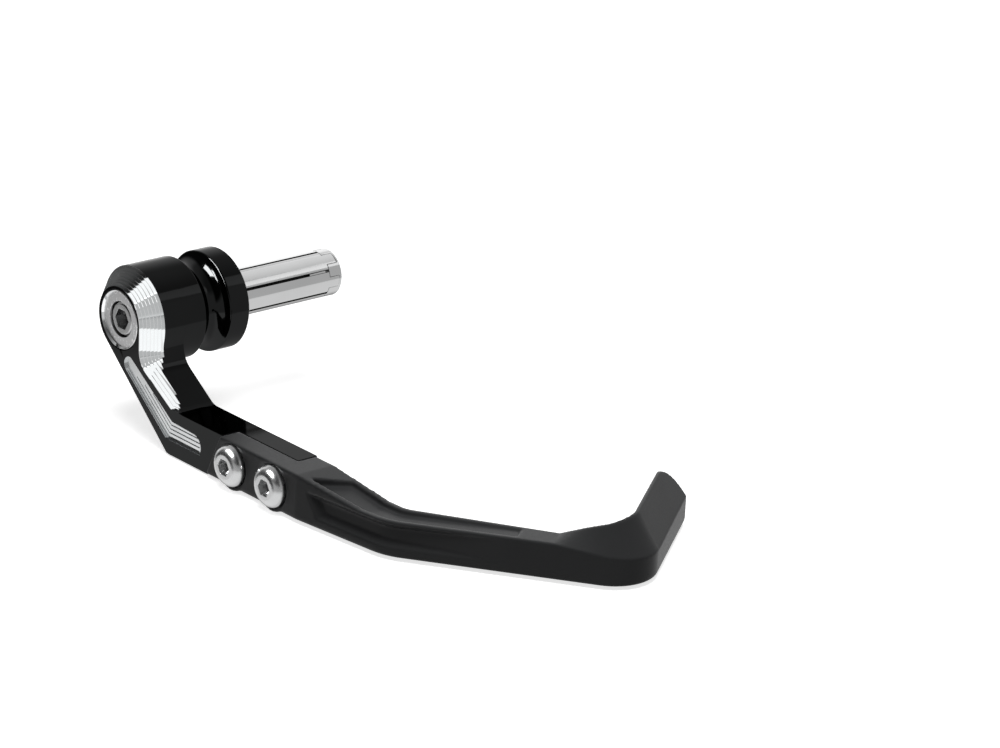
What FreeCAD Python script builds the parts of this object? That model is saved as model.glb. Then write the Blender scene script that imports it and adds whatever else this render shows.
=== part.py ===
import FreeCAD
import Part
import Sketcher
import math
import os

from FreeCAD import Vector

# Right-hand bar-end lever guard.
# Origin on the bar axis where the spool seats on the end of the bar,
# X outboard along the bar, Y forward, Z up.

doc = FreeCAD.newDocument("LeverGuard")

# Driving dimensions in millimetres and degrees
dimensions = {
    # shared clearances
    "fit_gap": 0.1,
    "bolt_gap": 0.3,
    "screw_gap": 0.2,
    "lap_gap": 0.1,
    # spool
    "spool_radius": 13.5,
    "spool_length": 21.0,
    "spool_edge": 0.4,
    "groove_start": 6.3,
    "groove_width": 7.7,
    "groove_depth": 3.6,
    "groove_edge": 0.5,
    # expansion sleeve and cone nut
    "flange_radius": 10.9,
    "flange_thickness": 3.0,
    "plug_radius": 6.4,
    "plug_length": 35.4,
    "slit_count": 6,
    "slit_turn": 5.0,
    "slit_width": 0.8,
    "slit_root": 1.0,
    "mouth_width": 3.6,
    "mouth_length": 3.2,
    "taper_length": 8.0,
    "taper_mouth": 5.2,
    "taper_root": 4.0,
    "lug_root": 4.4,
    "nut_rim": 1.0,
    "nut_edge": 0.3,
    # through bolt
    "bolt_radius": 3.0,
    "bolt_tail": 0.4,
    "bolt_edge": 0.5,
    "bolt_head_radius": 4.5,
    "bolt_head_height": 4.0,
    "bolt_hex": 5.0,
    "bolt_hex_depth": 2.6,
    # end cap
    "cap_radius": 7.9,
    "cap_depth": 7.5,
    "cap_web": 2.6,
    "cap_rim": 0.2,
    "cap_dish_radius": 7.4,
    "cap_dish_depth": 0.65,
    # arm
    "arm_thickness": 11.2,
    "arm_bottom": 30.0,
    "arm_top": 17.5,
    "heel_slope": 33.3,
    "front_slope": 33.3,
    "front_bend": 26.4,
    "lap_bottom_start": 38.8,
    "lap_top_start": 44.7,
    "heel_round": 4.5,
    "bend_round": 5.0,
    "hub_round": 7.0,
    "tongue_thickness": 5.9,
    "tongue_bottom_end": 74.3,
    "tongue_top_end": 68.8,
    "blind_hole_place": 9.25,
    "blind_hole_drop": 14.05,
    "blind_hole_radius": 2.5,
    "blind_hole_depth": 7.0,
    # stepped bright cut round the hub
    "step_count": 7,
    "step_drop": 0.47,
    "step_run": 0.66,
    "last_drop": 2.0,
    "flat_radius": 8.85,
    "flat_lower_slope": 40.5,
    "flat_upper_slope": 29.9,
    "flat_corner_drop": 9.3,
    "flat_corner_round": 6.0,
    "flat_end_gap": 0.15,
    # ribbed bright strip on the arm's outer face
    "strip_start_upper_place": 4.1,
    "strip_start_upper_drop": 7.95,
    "strip_start_lower_place": 1.8,
    "strip_start_lower_drop": 11.5,
    "strip_bend_upper_place": 23.5,
    "strip_bend_upper_drop": 20.65,
    "strip_bend_lower_place": 21.0,
    "strip_bend_lower_drop": 25.95,
    "strip_end_upper_place": 36.4,
    "strip_end_upper_drop": 21.2,
    "strip_end_lower_place": 35.5,
    "strip_end_lower_drop": 26.0,
    "strip_start_round": 2.0,
    "strip_bend_round": 0.8,
    "strip_end_round": 3.0,
    "strip_point_round": 0.3,
    "strip_depth": 0.7,
    "rib_groove_count": 4,
    "rib_groove_edge": 0.5,
    "rib_groove_pitch": 1.15,
    "rib_groove_fan": 3.6,
    "rib_groove_width": 0.42,
    "rib_groove_depth": 0.25,
    # blade, in plan
    "blade_inset": 0.3,
    "blade_proud": 0.9,
    "bend_start": 76.0,
    "run_turn": 4.6,
    "run_length": 28.6,
    "run_width": 9.7,
    "bend_turn": 29.4,
    "bend_radius": 12.0,
    "reach_length": 60.6,
    "ridge_place": 40.2,
    "ridge_width": 7.5,
    "corner_turn": 91.6,
    "corner_radius": 8.5,
    "paddle_length": 43.2,
    "paddle_width": 6.5,
    # blade, in height below the bar axis
    "blade_bottom": 29.6,
    "bottom_round": 0.9,
    "run_top": 20.2,
    "slope_length": 21.0,
    "crest_top": 13.9,
    "crest_flat": 1.0,
    "paddle_front": 23.0,
    "tip_front": 22.4,
    "tip_round": 7.8,
    "tip_foot": 1.5,
    "tip_slant": 1.3,
    # channels moulded in the blade
    "side_channel_start": 80.2,
    "side_channel_wall": 3.2,
    "side_channel_slant": 3.6,
    "side_channel_top": 20.9,
    "side_channel_bottom": 27.0,
    "side_channel_draft": 1.3,
    "side_channel_depth": 1.6,
    "side_channel_end": 35.0,
    "top_channel_start": 82.0,
    "top_channel_slant": 0.9,
    "top_channel_rim": 1.8,
    "top_channel_depth": 1.7,
    "top_channel_end": 31.0,
    "top_channel_end_depth": 0.5,
    # blade screws
    "screw_place": 49.8,
    "screw_pitch": 16.5,
    "screw_drop": 23.7,
    "screw_radius": 3.0,
    "screw_head_radius": 5.5,
    "screw_head_height": 3.3,
    "screw_head_round": 2.4,
    "screw_hex": 4.0,
    "screw_hex_depth": 2.0,
    "seat_depth": 0.8,
    "seat_gap": 0.3,
    "boss_radius": 6.7,
}

sheet = doc.addObject("Spreadsheet::Sheet", "Size")
for row, (alias, value) in enumerate(dimensions.items(), start=1):
    sheet.set("A%d" % row, alias.replace("_", " "))
    sheet.set("B%d" % row, str(value))
    sheet.setAlias("B%d" % row, alias)
doc.recompute()


def size(alias):
    return float(sheet.get(alias))


# Stations along the bar axis, shared by the pieces of the stack
arm_face = "(Size.spool_length + Size.arm_thickness)"
tongue_face = "(Size.spool_length + Size.tongue_thickness)"
cap_seat = "(%s - Size.cap_depth)" % arm_face
bolt_seat = "(%s + Size.cap_web)" % cap_seat
blade_face = "(%s + Size.blade_proud)" % arm_face
blade_back = "(Size.spool_length + Size.blade_inset)"
screw_seat = "(%s - Size.seat_depth)" % blade_face
bolt_bore = "(Size.bolt_radius + Size.bolt_gap)"
cutting_margin = 2.0


def origin_feature(body, role):
    return [feature for feature in body.Origin.OriginFeatures if feature.Role == role][0]


def new_body(name):
    return doc.addObject("PartDesign::Body", name)


def new_sketch(body, name, role, shift="0"):
    sketch = body.newObject("Sketcher::SketchObject", name)
    sketch.AttachmentSupport = [(origin_feature(body, role), "")]
    sketch.MapMode = "FlatFace"
    sketch.setExpression("AttachmentOffset.Base.z", shift)
    return sketch


def bind(sketch, constraint, expression):
    index = sketch.addConstraint(constraint)
    sketch.setExpression("Constraints[%d]" % index, expression)


def place_point(sketch, geometry, position, across, upward):
    bind(sketch, Sketcher.Constraint("DistanceX", -1, 1, geometry, position, 1.0), across)
    bind(sketch, Sketcher.Constraint("DistanceY", -1, 1, geometry, position, 1.0), upward)


# Closed outline whose corners are pairs of expressions
def draw_outline(sketch, corners):
    count = len(corners)
    turn = 2 * math.pi / count
    seeds = [Vector(math.cos(turn * k), math.sin(turn * k), 0) for k in range(count)]
    lines = []
    for k in range(count):
        lines.append(sketch.addGeometry(Part.LineSegment(seeds[k], seeds[(k + 1) % count])))
    for k in range(count):
        sketch.addConstraint(Sketcher.Constraint("Coincident", lines[k], 2, lines[(k + 1) % count], 1))
    for k, (across, upward) in enumerate(corners):
        place_point(sketch, lines[k], 1, across, upward)


def draw_circle(sketch, across, upward, radius):
    circle = sketch.addGeometry(Part.Circle(Vector(0, 0, 0), Vector(0, 0, 1), 1.0))
    place_point(sketch, circle, 3, across, upward)
    bind(sketch, Sketcher.Constraint("Radius", circle, 1.0), radius)


def draw_hexagon(sketch, across_flats):
    corners = []
    for k in range(6):
        reach = "%s / sqrt(3)" % across_flats
        corners.append(("%s * cos(%d)" % (reach, 60 * k), "%s * sin(%d)" % (reach, 60 * k)))
    draw_outline(sketch, corners)


def pad(body, sketch, length):
    feature = body.newObject("PartDesign::Pad", sketch.Name + "Pad")
    feature.Profile = sketch
    feature.setExpression("Length", length)
    doc.recompute()
    return feature


def pocket(body, sketch, depth=None, upward=False):
    feature = body.newObject("PartDesign::Pocket", sketch.Name + "Pocket")
    feature.Profile = sketch
    feature.Reversed = upward
    if depth is None:
        feature.Type = "ThroughAll"
    else:
        feature.setExpression("Length", depth)
    doc.recompute()
    return feature


# Solid of revolution about the bar axis from corners of (station, radius)
def turn_profile(body, name, corners):
    sketch = new_sketch(body, name, "XY_Plane")
    draw_outline(sketch, corners)
    feature = body.newObject("PartDesign::Revolution", name + "Turned")
    feature.Profile = sketch
    feature.ReferenceAxis = (sketch, ["H_Axis"])
    feature.Angle = 360
    doc.recompute()
    return feature


# Turns a sketch in its plane's frame, about a given direction there
def turn_sketch(sketch, axis, angle):
    sketch.AttachmentOffset = FreeCAD.Placement(Vector(0, 0, 0), FreeCAD.Rotation(axis, 1.0))
    sketch.setExpression("AttachmentOffset.Rotation.Angle", angle)


def polar_pattern(body, feature, count):
    pattern = body.newObject("PartDesign::PolarPattern", feature.Name + "Round")
    pattern.Originals = [feature]
    pattern.Axis = (origin_feature(body, "X_Axis"), [""])
    pattern.Angle = 360
    pattern.setExpression("Occurrences", count)
    body.Tip = pattern
    doc.recompute()
    return pattern


def fillet(body, base, chosen, radius):
    names = []
    for index, edge in enumerate(base.Shape.Edges, start=1):
        if chosen(edge):
            names.append("Edge%d" % index)
    feature = body.newObject("PartDesign::Fillet", base.Name + "Round")
    feature.Base = (base, names)
    feature.setExpression("Radius", radius)
    body.Tip = feature
    doc.recompute()
    return feature


# Picks straight edges along one axis that pass near a point
def edges_along(axis, point):
    def chosen(edge):
        if len(edge.Vertexes) != 2:
            return False
        run = edge.Vertexes[1].Point - edge.Vertexes[0].Point
        if run.Length < 1e-6 or abs(abs(run.normalize().dot(axis)) - 1) > 1e-6:
            return False
        offset = edge.Vertexes[0].Point - point
        return (offset - axis * offset.dot(axis)).Length < 0.05
    return chosen


def circles_at(station, radius):
    def chosen(edge):
        if edge.Curve.TypeId != "Part::GeomCircle":
            return False
        same_radius = abs(edge.Curve.Radius - radius) < 1e-4
        return same_radius and abs(edge.Curve.Center.x - station) < 1e-4
    return chosen


def cut(name, base, tool):
    feature = doc.addObject("Part::Cut", name)
    feature.Base = base
    feature.Tool = tool
    feature.Refine = True
    doc.recompute()
    return feature


def shaped(name, shape):
    feature = doc.addObject("Part::Feature", name)
    feature.Shape = shape
    return feature


# Spool between the bar and the arm, with a round-bottomed groove
spool = new_body("Spool")
spool.Label = "bar_end_spool"
flange_recess = "Size.flange_radius + Size.fit_gap"
turn_profile(spool, "SpoolProfile", [
    ("Size.flange_thickness", bolt_bore),
    ("Size.spool_length", bolt_bore),
    ("Size.spool_length", "Size.spool_radius - Size.spool_edge"),
    ("Size.spool_length - Size.spool_edge", "Size.spool_radius"),
    ("Size.spool_edge", "Size.spool_radius"),
    ("0", "Size.spool_radius - Size.spool_edge"),
    ("0", flange_recess),
    ("Size.flange_thickness", flange_recess),
])
groove_sketch = new_sketch(spool, "GrooveCircle", "XY_Plane")
groove_radius = "(Size.groove_width ^ 2 / 4 + Size.groove_depth ^ 2) / (2 * Size.groove_depth)"
draw_circle(groove_sketch, "Size.groove_start + Size.groove_width / 2",
            "Size.spool_radius - Size.groove_depth + %s" % groove_radius, groove_radius)
groove = spool.newObject("PartDesign::Groove", "RoundGroove")
groove.Profile = groove_sketch
groove.ReferenceAxis = (groove_sketch, ["H_Axis"])
groove.Angle = 360
doc.recompute()


def at_groove_edge(edge):
    near = circles_at(size("groove_start"), size("spool_radius"))(edge)
    far = circles_at(size("groove_start") + size("groove_width"), size("spool_radius"))(edge)
    return near or far


fillet(spool, groove, at_groove_edge, "Size.groove_edge")

# Slit sleeve that grips inside the bar, its flange let into the spool
sleeve = new_body("Sleeve")
sleeve.Label = "expansion_sleeve"
turn_profile(sleeve, "SleeveProfile", [
    ("-Size.plug_length", "Size.taper_mouth"),
    ("-Size.plug_length + Size.taper_length", "Size.taper_root"),
    ("-Size.plug_length + Size.taper_length", bolt_bore),
    ("Size.flange_thickness", bolt_bore),
    ("Size.flange_thickness", "Size.flange_radius"),
    ("0", "Size.flange_radius"),
    ("0", "Size.plug_radius"),
    ("-Size.plug_length", "Size.plug_radius"),
])
slit_sketch = new_sketch(sleeve, "Slit", "XY_Plane")
turn_sketch(slit_sketch, Vector(-1, 0, 0), "Size.slit_turn")
draw_outline(slit_sketch, [
    ("-Size.plug_length - Size.nut_rim", "-Size.mouth_width / 2"),
    ("-Size.plug_length + Size.mouth_length", "-Size.mouth_width / 2"),
    ("-Size.plug_length + Size.mouth_length", "-Size.slit_width / 2"),
    ("-Size.slit_root", "-Size.slit_width / 2"),
    ("-Size.slit_root", "Size.slit_width / 2"),
    ("-Size.plug_length + Size.mouth_length", "Size.slit_width / 2"),
    ("-Size.plug_length + Size.mouth_length", "Size.mouth_width / 2"),
    ("-Size.plug_length - Size.nut_rim", "Size.mouth_width / 2"),
])
slit = pocket(sleeve, slit_sketch, "Size.plug_radius + Size.nut_rim", upward=True)
polar_pattern(sleeve, slit, "Size.slit_count")

# Keyed nut whose taper spreads the sleeve when the bolt draws it in
nut = new_body("Nut")
nut.Label = "cone_nut"
nut_bore = "Size.bolt_radius + Size.fit_gap"
turn_profile(nut, "NutProfile", [
    ("-Size.plug_length - Size.nut_rim", nut_bore),
    ("-Size.plug_length - Size.nut_rim", "Size.plug_radius - Size.nut_edge"),
    ("-Size.plug_length - Size.nut_rim + Size.nut_edge", "Size.plug_radius"),
    ("-Size.plug_length", "Size.plug_radius"),
    ("-Size.plug_length", "Size.taper_mouth - Size.fit_gap"),
    ("-Size.plug_length + Size.taper_length - Size.fit_gap", "Size.taper_root - Size.fit_gap"),
    ("-Size.plug_length + Size.taper_length - Size.fit_gap", nut_bore),
])
lug_sketch = new_sketch(nut, "Lug", "YZ_Plane", "-Size.plug_length")
turn_sketch(lug_sketch, Vector(0, 0, -1), "Size.slit_turn")
half_lug = size("mouth_width") / 2 - size("fit_gap")
lug_rise = math.sqrt(size("plug_radius") ** 2 - half_lug ** 2)
lug_base = size("lug_root")
left_top = Vector(-half_lug, lug_rise, 0)
left_base = Vector(-half_lug, lug_base, 0)
right_base = Vector(half_lug, lug_base, 0)
right_top = Vector(half_lug, lug_rise, 0)
lug_arc = Part.Arc(right_top, Vector(0, size("plug_radius"), 0), left_top)
top_arc = lug_sketch.addGeometry(lug_arc)
left = lug_sketch.addGeometry(Part.LineSegment(left_top, left_base))
floor = lug_sketch.addGeometry(Part.LineSegment(left_base, right_base))
right = lug_sketch.addGeometry(Part.LineSegment(right_base, right_top))
lug_sketch.addConstraint(Sketcher.Constraint("Coincident", top_arc, 3, -1, 1))
lug_sketch.addConstraint(Sketcher.Constraint("Coincident", top_arc, 2, left, 1))
lug_sketch.addConstraint(Sketcher.Constraint("Coincident", left, 2, floor, 1))
lug_sketch.addConstraint(Sketcher.Constraint("Coincident", floor, 2, right, 1))
lug_sketch.addConstraint(Sketcher.Constraint("Coincident", right, 2, top_arc, 1))
lug_sketch.addConstraint(Sketcher.Constraint("Vertical", left))
lug_sketch.addConstraint(Sketcher.Constraint("Vertical", right))
bind(lug_sketch, Sketcher.Constraint("Radius", top_arc, size("plug_radius")), "Size.plug_radius")
place_point(lug_sketch, floor, 1, "Size.fit_gap - Size.mouth_width / 2", "Size.lug_root")
place_point(lug_sketch, floor, 2, "Size.mouth_width / 2 - Size.fit_gap", "Size.lug_root")
lug = pad(nut, lug_sketch, "Size.mouth_length - Size.fit_gap")
polar_pattern(nut, lug, "Size.slit_count")

# Long low-head bolt through the stack
bolt = new_body("Bolt")
bolt.Label = "through_bolt"
bolt_end = "(-Size.plug_length - Size.nut_rim + Size.bolt_tail)"
bolt_top = "(%s + Size.bolt_head_height)" % bolt_seat
turn_profile(bolt, "BoltProfile", [
    (bolt_end, "0"),
    (bolt_end, "Size.bolt_radius - Size.bolt_edge"),
    ("%s + Size.bolt_edge" % bolt_end, "Size.bolt_radius"),
    (bolt_seat, "Size.bolt_radius"),
    (bolt_seat, "Size.bolt_head_radius"),
    ("%s - Size.bolt_edge" % bolt_top, "Size.bolt_head_radius"),
    (bolt_top, "Size.bolt_head_radius - Size.bolt_edge"),
    (bolt_top, "0"),
])
bolt_hex = new_sketch(bolt, "BoltHex", "YZ_Plane", bolt_top)
draw_hexagon(bolt_hex, "Size.bolt_hex")
pocket(bolt, bolt_hex, "Size.bolt_hex_depth")

# Dished cap in the arm's hub
cap = new_body("Cap")
cap.Label = "end_cap"
cap_bore = "Size.bolt_head_radius + Size.bolt_gap"
turn_profile(cap, "CapProfile", [
    (cap_seat, bolt_bore),
    (bolt_seat, bolt_bore),
    (bolt_seat, cap_bore),
    ("%s - Size.cap_dish_depth" % arm_face, cap_bore),
    ("%s - Size.cap_dish_depth" % arm_face, "Size.cap_dish_radius"),
    (arm_face, "Size.cap_radius - Size.cap_rim"),
    ("%s - Size.cap_rim" % arm_face, "Size.cap_radius"),
    (cap_seat, "Size.cap_radius"),
])

# Arm: hub, sloping strap and level run up to the slanted lap
arm = new_body("Arm")
arm.setExpression("Placement.Base.x", "Size.spool_length")
arm_sketch = new_sketch(arm, "ArmProfile", "YZ_Plane")
hub_radius = size("spool_radius")
heel_angle = math.radians(size("heel_slope"))
front_angle = math.radians(size("front_slope"))
heel_tangent = Vector(-math.sin(heel_angle), -math.cos(heel_angle), 0) * hub_radius
heel_run = (size("arm_bottom") + heel_tangent.y) / math.sin(heel_angle)
heel_point = heel_tangent + Vector(math.cos(heel_angle), -math.sin(heel_angle), 0) * heel_run
bend_point = Vector(size("front_bend"), -size("arm_top"), 0)
lap_bottom = Vector(size("lap_bottom_start"), -size("arm_bottom"), 0)
lap_top = Vector(size("lap_top_start"), -size("arm_top"), 0)
rise = Vector(-math.cos(front_angle), math.sin(front_angle), 0)
nearest = -bend_point.dot(rise)
off_axis = (bend_point + rise * nearest).Length
hub_point = bend_point + rise * (nearest - math.sqrt(hub_radius ** 2 - off_axis ** 2))
hub_arc = arm_sketch.addGeometry(Part.Arc(hub_point, Vector(0, hub_radius, 0), heel_tangent))
heel_line = arm_sketch.addGeometry(Part.LineSegment(heel_tangent, heel_point))
bottom_line = arm_sketch.addGeometry(Part.LineSegment(heel_point, lap_bottom))
lap_line = arm_sketch.addGeometry(Part.LineSegment(lap_bottom, lap_top))
top_line = arm_sketch.addGeometry(Part.LineSegment(lap_top, bend_point))
front_line = arm_sketch.addGeometry(Part.LineSegment(bend_point, hub_point))
arm_sketch.addConstraint(Sketcher.Constraint("Coincident", hub_arc, 3, -1, 1))
arm_sketch.addConstraint(Sketcher.Constraint("Tangent", hub_arc, 2, heel_line, 1))
arm_sketch.addConstraint(Sketcher.Constraint("Coincident", heel_line, 2, bottom_line, 1))
arm_sketch.addConstraint(Sketcher.Constraint("Coincident", bottom_line, 2, lap_line, 1))
arm_sketch.addConstraint(Sketcher.Constraint("Coincident", lap_line, 2, top_line, 1))
arm_sketch.addConstraint(Sketcher.Constraint("Coincident", top_line, 2, front_line, 1))
arm_sketch.addConstraint(Sketcher.Constraint("Coincident", front_line, 2, hub_arc, 1))
arm_sketch.addConstraint(Sketcher.Constraint("Horizontal", bottom_line))
arm_sketch.addConstraint(Sketcher.Constraint("Horizontal", top_line))
bind(arm_sketch, Sketcher.Constraint("Radius", hub_arc, hub_radius), "Size.spool_radius")
bind(arm_sketch, Sketcher.Constraint("Angle", heel_line, -heel_angle), "-Size.heel_slope")
bind(arm_sketch, Sketcher.Constraint("Angle", front_line, math.pi - front_angle), "180 - Size.front_slope")
place_point(arm_sketch, bottom_line, 2, "Size.lap_bottom_start", "-Size.arm_bottom")
place_point(arm_sketch, top_line, 1, "Size.lap_top_start", "-Size.arm_top")
bind(arm_sketch, Sketcher.Constraint("DistanceX", -1, 1, top_line, 2, bend_point.x), "Size.front_bend")
pad(arm, arm_sketch, "Size.arm_thickness")

tongue_sketch = new_sketch(arm, "Tongue", "YZ_Plane")
draw_outline(tongue_sketch, [
    ("Size.front_bend", "-Size.arm_bottom"),
    ("Size.tongue_bottom_end", "-Size.arm_bottom"),
    ("Size.tongue_top_end", "-Size.arm_top"),
    ("Size.front_bend", "-Size.arm_top"),
])
tongue = pad(arm, tongue_sketch, "Size.tongue_thickness")
along_x = Vector(1, 0, 0)
heel = fillet(arm, tongue, edges_along(along_x, Vector(0, heel_point.x, heel_point.y)), "Size.heel_round")
bend = fillet(arm, heel, edges_along(along_x, Vector(0, bend_point.x, bend_point.y)), "Size.bend_round")
fillet(arm, bend, edges_along(along_x, Vector(0, hub_point.x, hub_point.y)), "Size.hub_round")

cap_hole = new_sketch(arm, "CapHole", "YZ_Plane", "Size.arm_thickness")
draw_circle(cap_hole, "0", "0", "Size.cap_radius + Size.fit_gap")
pocket(arm, cap_hole, "Size.cap_depth")
bolt_hole = new_sketch(arm, "BoltHole", "YZ_Plane", "Size.arm_thickness")
draw_circle(bolt_hole, "0", "0", bolt_bore)
pocket(arm, bolt_hole)
blind_hole = new_sketch(arm, "BlindHole", "YZ_Plane")
draw_circle(blind_hole, "Size.blind_hole_place", "-Size.blind_hole_drop", "Size.blind_hole_radius")
pocket(arm, blind_hole, "Size.blind_hole_depth", upward=True)
screw_places = ["Size.screw_place", "(Size.screw_place + Size.screw_pitch)"]
screw_bore = "Size.screw_radius + Size.screw_gap"
tongue_holes = new_sketch(arm, "TongueHoles", "YZ_Plane", "Size.tongue_thickness")
for place in screw_places:
    draw_circle(tongue_holes, place, "-Size.screw_drop", screw_bore)
pocket(arm, tongue_holes)


# Arc that rounds the corner of two straight lines
def corner_arc(before, corner, after, radius):
    back = (before - corner).normalize()
    ahead = (after - corner).normalize()
    half = back.getAngle(ahead) / 2
    inward = (back + ahead).normalize()
    center = corner + inward * (radius / math.sin(half))
    start = corner + back * (radius / math.tan(half))
    end = corner + ahead * (radius / math.tan(half))
    return start, Part.Arc(start, center - inward * radius, end).toShape(), end


# Flat that is left inside the steps, as a face in the arm's outer plane
def hub_flat(station):
    radius = size("flat_radius")
    lower = math.radians(size("flat_lower_slope"))
    upper = math.radians(size("flat_upper_slope"))
    beyond = size("lap_top_start")
    below = -size("arm_bottom") - cutting_margin
    above = -size("arm_top") + size("flat_end_gap")
    tangent = Vector(station, -radius * math.sin(lower), -radius * math.cos(lower))
    lower_end = tangent + Vector(0, 1 / math.tan(lower), -1) * (tangent.z - below)
    corner = Vector(station, radius, -size("flat_corner_drop"))
    upper_end = corner + Vector(0, 1 / math.tan(upper), -1) * (corner.z - above)
    side = Vector(station, radius, 0)
    start, arc, end = corner_arc(side, corner, upper_end, size("flat_corner_round"))
    crown = Vector(station, 0, radius)
    hub = Part.Arc(tangent, crown, side)
    outline = [
        hub.toShape(),
        Part.makeLine(side, start),
        arc,
        Part.makeLine(end, upper_end),
        Part.makeLine(upper_end, Vector(station, beyond, above)),
        Part.makeLine(Vector(station, beyond, above), Vector(station, beyond, below)),
        Part.makeLine(Vector(station, beyond, below), lower_end),
        Part.makeLine(lower_end, tangent),
    ]
    return Part.Face(Part.Wire(outline))


# Everything outside the flat, one step deeper for each step further out
def step_tool():
    face_station = size("spool_length") + size("arm_thickness")
    reach = size("spool_radius") + cutting_margin
    depth_below = size("arm_bottom") + cutting_margin / 2
    count = int(size("step_count"))
    depths = [(k + 1) * size("step_drop") for k in range(count - 1)]
    depths.append((count - 1) * size("step_drop") + size("last_drop"))
    tools = []
    for k, depth in enumerate(depths):
        station = face_station - depth
        inside = hub_flat(station)
        if k:
            inside = inside.makeOffset2D(k * size("step_run"))
        corners = [
            Vector(station, -reach, -depth_below),
            Vector(station, size("lap_bottom_start"), -depth_below),
            Vector(station, size("lap_bottom_start"), reach),
            Vector(station, -reach, reach),
        ]
        around = Part.Face(Part.makePolygon(corners + corners[:1]))
        tools.append(around.cut(inside).extrude(Vector(depth + cutting_margin, 0, 0)))
    return tools[0].multiFuse(tools[1:])


# Round-ended slot along a bent line in the arm's outer face
def slot(points, half_width, top, depth):
    pieces = []
    for point in points:
        pieces.append(Part.makeCylinder(half_width, depth + cutting_margin,
                                        point + Vector(top - depth, 0, 0), Vector(1, 0, 0)))
    for start, end in zip(points, points[1:]):
        side = Vector(1, 0, 0).cross(end - start).normalize() * half_width
        base = Vector(top - depth, 0, 0)
        corners = [start - side, end - side, end + side, start + side]
        face = Part.Face(Part.makePolygon([base + corner for corner in corners + corners[:1]]))
        pieces.append(face.extrude(Vector(depth + cutting_margin, 0, 0)))
    return pieces[0].multiFuse(pieces[1:])


# Closed outline with every corner rounded
def rounded_wire(corners):
    points = [point for point, radius in corners]
    arcs = []
    for k, (point, radius) in enumerate(corners):
        arcs.append(corner_arc(points[k - 1], point, points[(k + 1) % len(points)], radius))
    outline = []
    for k, (start, arc, end) in enumerate(arcs):
        outline.append(Part.makeLine(arcs[k - 1][2], start))
        outline.append(arc)
    return Part.Wire(outline)


def strip_corner(name):
    return Vector(0, size("strip_%s_place" % name), -size("strip_%s_drop" % name))


# Bright strip with fine grooves that follow its lower edge and start one after another
def strip_tool():
    top = size("spool_length") + size("arm_thickness")
    first = strip_corner("start_lower")
    middle = strip_corner("bend_lower")
    last = strip_corner("end_lower")
    outline = rounded_wire([
        (strip_corner("start_upper"), size("strip_start_round")),
        (strip_corner("bend_upper"), size("strip_bend_round")),
        (strip_corner("end_upper"), size("strip_end_round")),
        (last, size("strip_point_round")),
        (middle, size("strip_bend_round")),
        (first, size("strip_start_round")),
    ])
    floor_shift = Vector(top - size("strip_depth"), 0, 0)
    tool = Part.Face(outline).extrude(Vector(size("strip_depth") + cutting_margin, 0, 0))
    tool.translate(floor_shift)
    ahead_in = (middle - first).normalize()
    ahead_out = (last - middle).normalize()
    side_in = Vector(1, 0, 0).cross(ahead_in)
    side_out = Vector(1, 0, 0).cross(ahead_out)
    side_bend = (side_in + side_out).normalize()
    stretch = 1 / side_bend.dot(side_in)
    groove_depth = size("strip_depth") + size("rib_groove_depth")
    for k in range(int(size("rib_groove_count"))):
        shift = size("rib_groove_edge") + k * size("rib_groove_pitch")
        points = [
            first + ahead_in * (size("strip_start_round") + k * size("rib_groove_fan")) + side_in * shift,
            middle + side_bend * shift * stretch,
            last - ahead_out * size("rib_groove_pitch") + side_out * shift,
        ]
        tool = tool.fuse(slot(points, size("rib_groove_width") / 2, top, groove_depth))
    return tool


arm_steps = shaped("ArmSteps", step_tool())
arm_strip = shaped("ArmStrip", strip_tool())
stepped_arm = cut("SteppedArm", arm, arm_steps)
clamp_arm = cut("ClampArm", stepped_arm, arm_strip)
clamp_arm.Label = "clamp_arm"

# Blade: band in plan with constant bottom, then cut to its changing height
blade = new_body("Blade")
lap_width = "(%s - %s)" % (blade_face, blade_back)
heading_run = "Size.run_turn"
heading_reach = "(Size.run_turn + Size.bend_turn)"
heading_paddle = "(Size.run_turn + Size.bend_turn + Size.corner_turn)"


def further(point, length, heading):
    return ("(%s - %s * sin(%s))" % (point[0], length, heading),
            "(%s + %s * cos(%s))" % (point[1], length, heading))


def aside(point, width, heading, sign):
    return ("%s %s %s / 2 * cos(%s)" % (point[0], sign, width, heading),
            "%s %s %s / 2 * sin(%s)" % (point[1], sign, width, heading))


knee = ("(%s + %s) / 2" % (blade_face, blade_back), "Size.bend_start")
elbow = further(knee, "Size.run_length", heading_run)
ridge = further(elbow, "Size.ridge_place", heading_reach)
corner = further(elbow, "Size.reach_length", heading_reach)
tip = further(corner, "Size.paddle_length", heading_paddle)
tip_back = further(corner, "(Size.paddle_length - Size.tip_slant)", heading_paddle)
elbow_heading = "(%s + Size.bend_turn / 2)" % heading_run
corner_heading = "(%s + Size.corner_turn / 2)" % heading_reach
elbow_width = "Size.run_width / cos(Size.bend_turn / 2)"
corner_width = "Size.paddle_width / cos(Size.corner_turn / 2)"
lap_first = "Size.lap_bottom_start - Size.lap_gap"
stations = [
    (ridge, "Size.ridge_width", heading_reach),
    (corner, corner_width, corner_heading),
]
front_corners = [aside(point, width, heading, "+") for point, width, heading in stations]
front_corners.append(aside(tip, "Size.paddle_width", heading_paddle, "+"))
rear_corners = [aside(tip_back, "Size.paddle_width", heading_paddle, "-")]
rear_corners += [aside(point, width, heading, "-") for point, width, heading in reversed(stations)]
plan_sketch = new_sketch(blade, "BladePlan", "XY_Plane", "-Size.blade_bottom")
draw_outline(plan_sketch, [
    (blade_back, lap_first),
    (blade_face, lap_first),
    (blade_face, "Size.bend_start"),
    aside(elbow, elbow_width, elbow_heading, "+"),
] + front_corners + rear_corners + [
    aside(elbow, elbow_width, elbow_heading, "-"),
    (blade_back, "Size.bend_start"),
])
plan_pad = pad(blade, plan_sketch, "Size.blade_bottom - Size.crest_top")


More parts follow.
